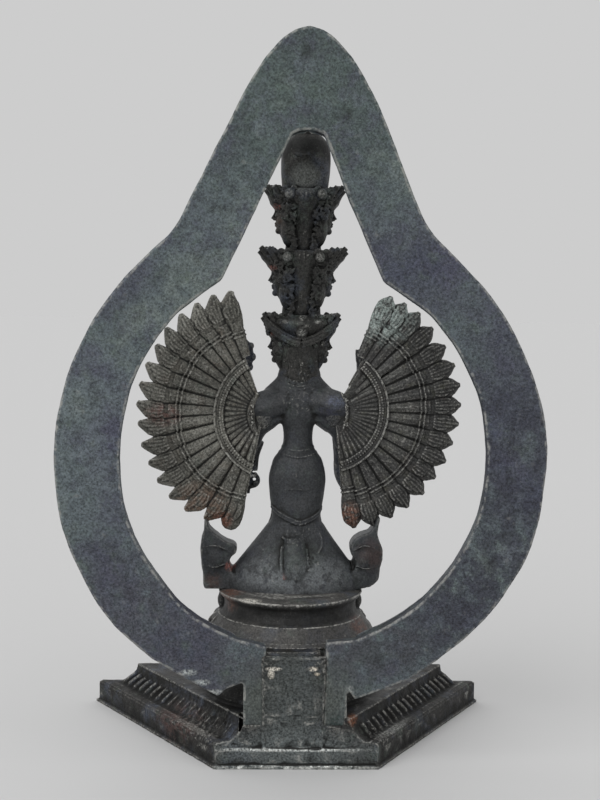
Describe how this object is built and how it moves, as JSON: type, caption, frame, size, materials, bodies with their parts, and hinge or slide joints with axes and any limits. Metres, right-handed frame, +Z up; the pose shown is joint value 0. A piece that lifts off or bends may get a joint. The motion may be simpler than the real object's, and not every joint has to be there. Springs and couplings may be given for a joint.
{
  "type": "avalokiteshvara figure",
  "caption": "Standing multi-headed bronze figure with two fans of small arms on a double lotus and stepped plinth, inside a flat teardrop mandorla.",
  "frame": {"origin": "middle of the plinth's underside", "axes": "+Z up, the figure faces -Y, the mandorla stands behind it towards +Y"},
  "size_m": [0.3312, 0.154, 0.5],
  "materials": {
    "plinth_bronze": "dark green-grey patinated cast bronze, worn pale along its edges",
    "frame_bronze": "blue-grey patinated cast bronze with a fine sandy grain",
    "lotus_bronze": "dark patinated cast bronze with red-brown residue",
    "figure_bronze": "charcoal patinated cast bronze with verdigris and red-brown traces"
  },
  "bodies": {
    "root": {"plinth": "plinth_bronze", "mandorla_frame": "frame_bronze", "lotus_pedestal": "lotus_bronze", "figure": "figure_bronze"}
  },
  "joints": []
}
